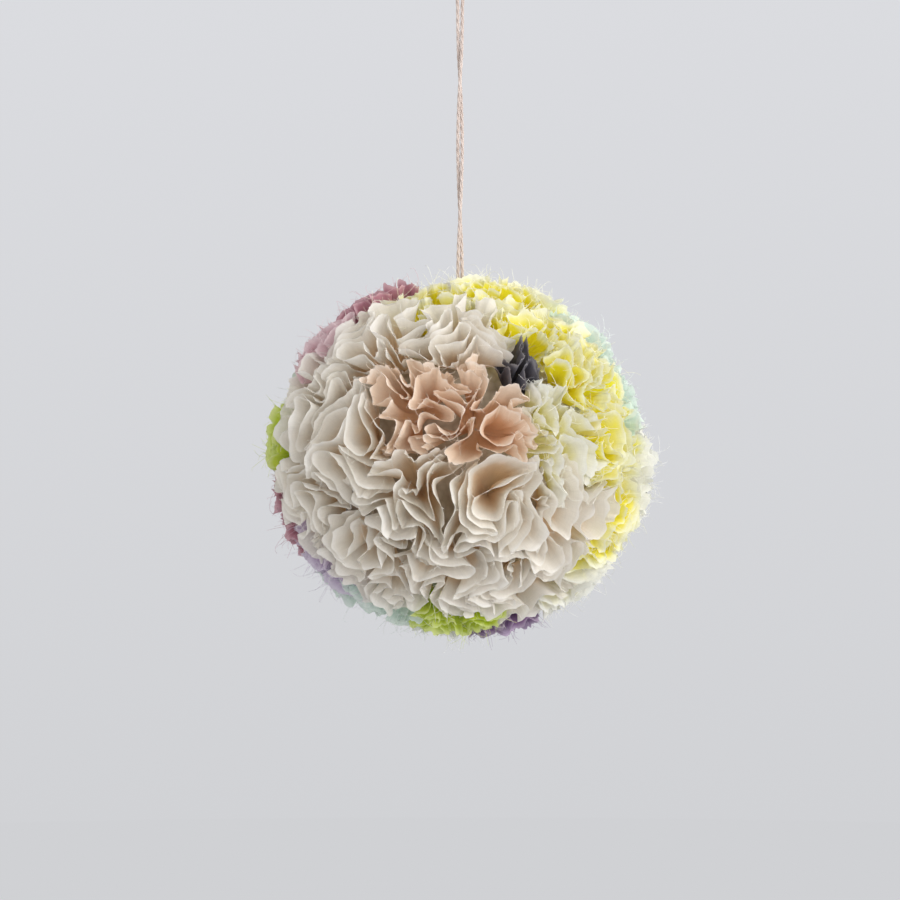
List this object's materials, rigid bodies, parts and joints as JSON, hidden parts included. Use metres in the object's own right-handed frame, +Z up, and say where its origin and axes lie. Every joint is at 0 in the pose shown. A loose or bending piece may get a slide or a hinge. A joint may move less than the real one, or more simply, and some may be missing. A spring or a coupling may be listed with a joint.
{
  "type": "fabric flower ball",
  "caption": "Round hanging ornament of gathered cloth scraps on a foam ball, with a looped twine.",
  "frame": {"origin": "inside top of the twine's loop, where the ball hangs", "axes": "+Z up along the hanging line, -Y towards the viewer at the front of the ball, +X to the viewer's right"},
  "size_m": [0.1118, 0.112, 0.1944],
  "materials": {
    "foam": "fine-grained foam",
    "twine": "twisted cotton",
    "cream": "plain-woven cloth with raw edges",
    "lemon": "plain-woven cloth with raw edges",
    "pale_lemon": "plain-woven cloth with raw edges",
    "lime": "plain-woven cloth with raw edges",
    "mint": "plain-woven cloth with raw edges",
    "rose": "plain-woven cloth with raw edges",
    "pink": "plain-woven cloth with raw edges",
    "lilac": "plain-woven cloth with raw edges",
    "plum": "plain-woven cloth with raw edges",
    "slate": "plain-woven cloth with raw edges",
    "peach": "plain-woven cloth with raw edges"
  },
  "bodies": {
    "root": {"foam_core": "foam", "hanging_twine": "twine", "cream_ruffle_01": "cream", "cream_ruffle_02": "cream", "cream_ruffle_03": "cream", "cream_ruffle_04": "cream", "cream_ruffle_05": "cream", "cream_ruffle_06": "cream", "cream_ruffle_07": "cream", "cream_ruffle_08": "cream", "cream_ruffle_09": "cream", "cream_ruffle_10": "cream", "cream_ruffle_11": "cream", "cream_ruffle_12": "cream", "cream_ruffle_13": "cream", "cream_ruffle_14": "cream", "cream_ruffle_15": "cream", "cream_ruffle_16": "cream", "cream_ruffle_17": "cream", "cream_ruffle_18": "cream", "cream_ruffle_19": "cream", "cream_ruffle_20": "cream", "cream_ruffle_21": "cream", "cream_ruffle_22": "cream", "cream_ruffle_23": "cream", "cream_ruffle_24": "cream", "cream_ruffle_25": "cream", "lemon_ruffle_01": "lemon", "lemon_ruffle_02": "lemon", "lemon_ruffle_03": "lemon", "lemon_ruffle_04": "lemon", "lemon_ruffle_05": "lemon", "lemon_ruffle_06": "lemon", "lemon_ruffle_07": "lemon", "lemon_ruffle_08": "lemon", "pale_lemon_ruffle_01": "pale_lemon", "pale_lemon_ruffle_02": "pale_lemon", "pale_lemon_ruffle_03": "pale_lemon", "pale_lemon_ruffle_04": "pale_lemon", "pale_lemon_ruffle_05": "pale_lemon", "lime_ruffle_01": "lime", "lime_ruffle_02": "lime", "mint_ruffle_01": "mint", "mint_ruffle_02": "mint", "mint_ruffle_03": "mint", "mint_ruffle_04": "mint", "mint_ruffle_05": "mint", "rose_ruffle_01": "rose", "rose_ruffle_02": "rose", "pink_ruffle_01": "pink", "pink_ruffle_02": "pink", "pink_ruffle_03": "pink", "lilac_ruffle_01": "lilac", "lilac_ruffle_02": "lilac", "plum_ruffle_01": "plum", "slate_ruffle_01": "slate", "peach_ruffle_01": "peach", "peach_ruffle_02": "peach"}
  },
  "joints": []
}
